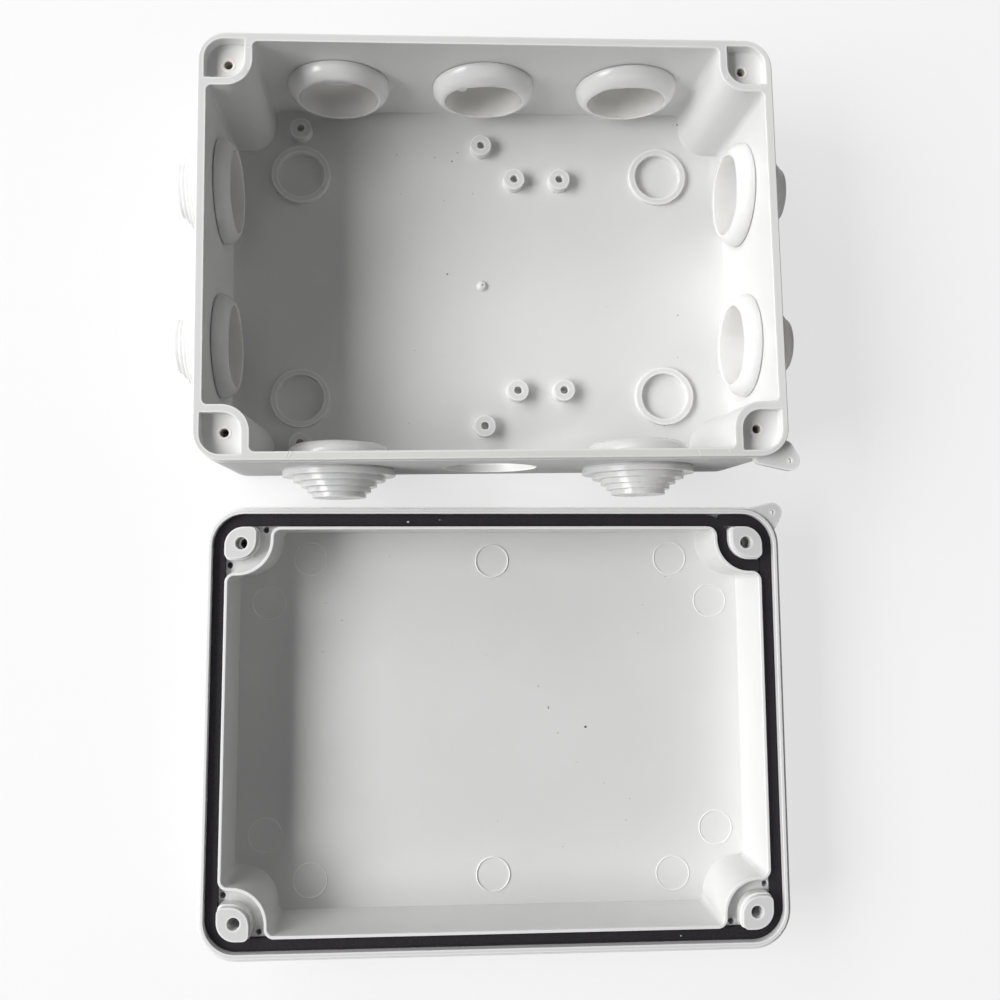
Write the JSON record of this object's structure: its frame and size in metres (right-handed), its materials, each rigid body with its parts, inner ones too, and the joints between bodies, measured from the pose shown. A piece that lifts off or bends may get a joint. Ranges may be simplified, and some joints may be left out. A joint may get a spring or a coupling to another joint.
{
  "type": "junction box",
  "caption": "Open rectangular plastic junction box with stepped cable grommets in its walls, corner screw columns, and its screw-on lid with a foam gasket lying beside it.",
  "frame": {"origin": "centre of the base's flat back face, on the surface that the box stands on", "axes": "+X right along the long side, +Y away from the lid, +Z out of the box towards its open side"},
  "size_m": [0.2176, 0.321, 0.0544],
  "materials": {
    "housing": "moulded, satin to semi-gloss",
    "gasket": "closed-cell foam, matt",
    "grommet": "soft, smooth, slightly translucent",
    "screw": "bright zinc plate"
  },
  "bodies": {
    "base": {"base": "housing", "grommet_back_left": "grommet", "grommet_back_centre": "grommet", "grommet_back_right": "grommet", "grommet_front_left": "grommet", "grommet_front_right": "grommet", "grommet_left_back": "grommet", "grommet_left_front": "grommet", "grommet_right_back": "grommet", "grommet_right_front": "grommet"},
    "lid": {"lid": "housing", "lid_gasket": "gasket"},
    "screw_back_right": {"lid_screw_back_right": "screw"},
    "screw_back_left": {"lid_screw_back_left": "screw"},
    "screw_front_left": {"lid_screw_front_left": "screw"},
    "screw_front_right": {"lid_screw_front_right": "screw"}
  },
  "joints": [
    {"name": "lid_lift", "type": "slide", "parent": "base", "child": "lid", "axis": [0, 0, 1], "range_m": [0, 0.1]},
    {"name": "screw_back_right_drive", "type": "slide", "parent": "lid", "child": "screw_back_right", "axis": [0, 0, 1], "range_m": [0, 0.0188]},
    {"name": "screw_back_left_drive", "type": "slide", "parent": "lid", "child": "screw_back_left", "axis": [0, 0, 1], "range_m": [0, 0.0188]},
    {"name": "screw_front_left_drive", "type": "slide", "parent": "lid", "child": "screw_front_left", "axis": [0, 0, 1], "range_m": [0, 0.0188]},
    {"name": "screw_front_right_drive", "type": "slide", "parent": "lid", "child": "screw_front_right", "axis": [0, 0, 1], "range_m": [0, 0.0188]}
  ]
}
